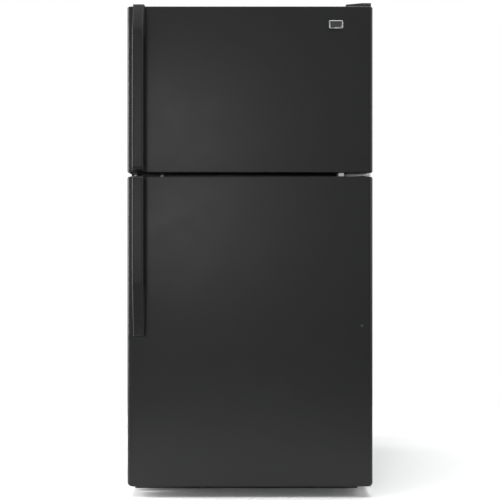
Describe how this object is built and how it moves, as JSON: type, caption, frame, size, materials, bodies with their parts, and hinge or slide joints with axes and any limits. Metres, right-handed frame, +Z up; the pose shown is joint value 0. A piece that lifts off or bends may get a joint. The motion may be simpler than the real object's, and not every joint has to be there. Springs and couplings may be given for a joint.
{
  "type": "top freezer refrigerator",
  "caption": "Free-standing refrigerator with a freezer above a fresh food compartment, two hinged doors with bar handles, glass shelves, crisper drawers and rear machinery.",
  "frame": {"origin": "on the floor, under the middle of the whole object's box", "axes": "+Z up; the doors face -Y; +X to the right of someone facing the doors"},
  "size_m": [0.833, 0.829, 1.68],
  "materials": {
    "door_steel": "satin",
    "case_steel": "satin",
    "galvanised_steel": "satin",
    "zinc_steel": "satin",
    "badge_metal": "polished",
    "white_liner": "satin",
    "white_plastic": "satin",
    "white_wire": "gloss",
    "black_plastic": "satin",
    "clear_plastic": "gloss",
    "shelf_glass": "polished",
    "gasket_rubber": "matte",
    "roller_plastic": "matte",
    "compressor_steel": "satin",
    "tube_steel": "satin",
    "evaporator_aluminium": "satin"
  },
  "bodies": {
    "cabinet": {"cabinet_wrapper": "case_steel", "back_panel": "galvanised_steel", "base_pan": "galvanised_steel", "freezer_liner": "white_liner", "refrigerator_liner": "white_liner", "mullion_rail": "case_steel", "mullion_plug": "white_plastic", "toe_grille": "black_plastic", "rear_service_cover": "galvanised_steel", "top_hinge": "zinc_steel", "top_hinge_cover": "black_plastic", "center_hinge": "zinc_steel", "bottom_hinge": "zinc_steel", "shelf_track_left": "zinc_steel", "shelf_track_right": "zinc_steel", "upper_shelf_frame": "white_plastic", "upper_shelf_glass": "shelf_glass", "lower_shelf_frame": "white_plastic", "lower_shelf_glass": "shelf_glass", "crisper_cover_frame": "white_plastic", "crisper_cover_glass": "shelf_glass", "control_housing": "white_plastic", "freezer_shelf": "white_wire", "evaporator_cover": "white_liner", "evaporator_coil": "evaporator_aluminium", "evaporator_fan_motor": "black_plastic", "compressor": "compressor_steel", "condenser_coil": "tube_steel", "condenser_fan_frame": "galvanised_steel", "drain_pan": "black_plastic"},
    "evaporator_fan": {"evaporator_fan": "black_plastic"},
    "condenser_fan": {"condenser_fan": "black_plastic"},
    "crisper_left": {"crisper_left": "clear_plastic"},
    "crisper_right": {"crisper_right": "clear_plastic"},
    "rear_roller_left": {"rear_roller_left": "roller_plastic"},
    "rear_roller_right": {"rear_roller_right": "roller_plastic"},
    "leveling_leg_left": {"leveling_leg_left": "zinc_steel"},
    "leveling_leg_right": {"leveling_leg_right": "zinc_steel"},
    "temperature_knob": {"temperature_knob": "white_plastic"},
    "airflow_knob": {"airflow_knob": "white_plastic"},
    "door_switch": {"door_switch": "black_plastic"},
    "freezer_door": {"freezer_door_panel": "door_steel", "freezer_door_liner": "white_liner", "freezer_door_gasket": "gasket_rubber", "freezer_handle": "black_plastic", "badge": "badge_metal", "freezer_upper_bin": "white_plastic", "freezer_lower_bin": "white_plastic"},
    "refrigerator_door": {"refrigerator_door_panel": "door_steel", "refrigerator_door_liner": "white_liner", "refrigerator_door_gasket": "gasket_rubber", "refrigerator_handle": "black_plastic", "handle_end_cap": "black_plastic", "door_plug_button": "black_plastic", "upper_door_bin": "clear_plastic", "middle_door_bin": "clear_plastic", "lower_door_bin": "clear_plastic", "bottom_door_bin": "clear_plastic", "dairy_box": "white_plastic"},
    "dairy_lid": {"dairy_lid": "clear_plastic"}
  },
  "joints": [
    {"name": "freezer_door_hinge", "type": "hinge", "parent": "cabinet", "child": "freezer_door", "pos_m": [0.403, -0.32, 1.383], "axis": [0, 0, 1], "range_deg": [0, 130]},
    {"name": "refrigerator_door_hinge", "type": "hinge", "parent": "cabinet", "child": "refrigerator_door", "pos_m": [0.403, -0.32, 0.563], "axis": [0, 0, 1], "range_deg": [0, 130]},
    {"name": "dairy_lid_hinge", "type": "hinge", "parent": "refrigerator_door", "child": "dairy_lid", "pos_m": [-0.161, -0.19, 1.013], "axis": [1, 0, 0], "range_deg": [0, 85]},
    {"name": "crisper_left_slide", "type": "slide", "parent": "cabinet", "child": "crisper_left", "axis": [0, -1, 0], "range_m": [0, 0.06]},
    {"name": "crisper_right_slide", "type": "slide", "parent": "cabinet", "child": "crisper_right", "axis": [0, -1, 0], "range_m": [0, 0.06]},
    {"name": "temperature_knob_turn", "type": "hinge", "parent": "cabinet", "child": "temperature_knob", "pos_m": [-0.095, -0.03, 1.029], "axis": [0, 1, 0], "range_deg": [0, 270]},
    {"name": "airflow_knob_turn", "type": "hinge", "parent": "cabinet", "child": "airflow_knob", "pos_m": [0.095, -0.03, 1.029], "axis": [0, 1, 0], "range_deg": [0, 270]},
    {"name": "door_switch_press", "type": "slide", "parent": "cabinet", "child": "door_switch", "axis": [0, 1, 0], "range_m": [0, 0.006], "stiffness_N_per_m": 300, "springref_m": -0.002},
    {"name": "evaporator_fan_spin", "type": "hinge", "parent": "cabinet", "child": "evaporator_fan", "pos_m": [0, 0.313, 1.495], "axis": [0, 1, 0], "continuous": true},
    {"name": "condenser_fan_spin", "type": "hinge", "parent": "cabinet", "child": "condenser_fan", "pos_m": [0.02, 0.33, 0.15], "axis": [1, 0, 0], "continuous": true},
    {"name": "rear_roller_left_roll", "type": "hinge", "parent": "cabinet", "child": "rear_roller_left", "pos_m": [-0.35, 0.375, 0.02], "axis": [1, 0, 0], "continuous": true},
    {"name": "rear_roller_right_roll", "type": "hinge", "parent": "cabinet", "child": "rear_roller_right", "pos_m": [0.35, 0.375, 0.02], "axis": [1, 0, 0], "continuous": true},
    {"name": "leveling_leg_left_screw", "type": "slide", "parent": "cabinet", "child": "leveling_leg_left", "axis": [0, 0, -1], "range_m": [0, 0.01]},
    {"name": "leveling_leg_right_screw", "type": "slide", "parent": "cabinet", "child": "leveling_leg_right", "axis": [0, 0, -1], "range_m": [0, 0.01]}
  ]
}
